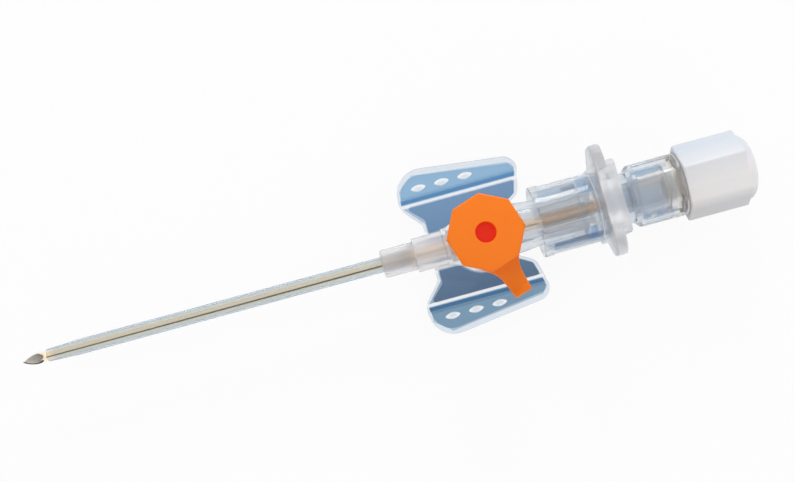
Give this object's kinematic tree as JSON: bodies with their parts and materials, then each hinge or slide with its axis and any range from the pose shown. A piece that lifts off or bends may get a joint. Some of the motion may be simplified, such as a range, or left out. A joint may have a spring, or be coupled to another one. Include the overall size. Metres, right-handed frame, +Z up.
{
  "type": "iv cannula",
  "caption": "Winged catheter with an upright port under a flip-up cap, its steel needle in place, with slotted needle hub, flash chamber stopper and lock cap.",
  "frame": {"origin": "centre of the wings' flat underside, straight below the port's axis", "axes": "+X along the cannula towards the lock cap, the needle tip towards -X; +Z up out of the port; +Y across the wings"},
  "size_m": [0.1079, 0.0246, 0.016],
  "materials": {
    "clear_hub": "clear moulded plastic, thin wings with a fine satin face",
    "clear_needle_hub": "clear moulded plastic, gloss",
    "clear_stopper": "clear moulded plastic, gloss",
    "catheter": "milky extruded tube, satin",
    "steel": "drawn stainless tube, bright ground bevel",
    "silicone": "translucent silicone, dull",
    "orange": "orange moulded plastic, fine satin",
    "filter": "sintered white plastic, dull",
    "white": "white moulded plastic, satin"
  },
  "bodies": {
    "hub": {"catheter_hub": "clear_hub", "catheter_tube": "catheter", "catheter_bush": "steel", "valve_sleeve": "silicone"},
    "cap_ring": {"cap_ring": "orange"},
    "lid": {"port_cap": "orange"},
    "needle": {"needle_tube": "steel", "needle_hub": "clear_needle_hub"},
    "stopper": {"vent_stopper": "clear_stopper", "filter_disc": "filter"},
    "end_cap": {"lock_cap": "white"}
  },
  "joints": [
    {"name": "cap_swivel", "type": "hinge", "parent": "hub", "child": "cap_ring", "pos_m": [0, 0, 0.0084], "axis": [0, 0, 1], "continuous": true},
    {"name": "lid_flip", "type": "hinge", "parent": "cap_ring", "child": "lid", "pos_m": [-0.00147, 0.00452, 0.00945], "axis": [-0.9511, -0.309, 0], "range_deg": [0, 100]},
    {"name": "needle_withdraw", "type": "slide", "parent": "hub", "child": "needle", "axis": [1, 0, 0], "range_m": [0, 0.086]},
    {"name": "stopper_pull", "type": "slide", "parent": "needle", "child": "stopper", "axis": [1, 0, 0], "range_m": [0, 0.01]},
    {"name": "lock_cap_pull", "type": "slide", "parent": "stopper", "child": "end_cap", "axis": [1, 0, 0], "range_m": [0, 0.009]}
  ]
}
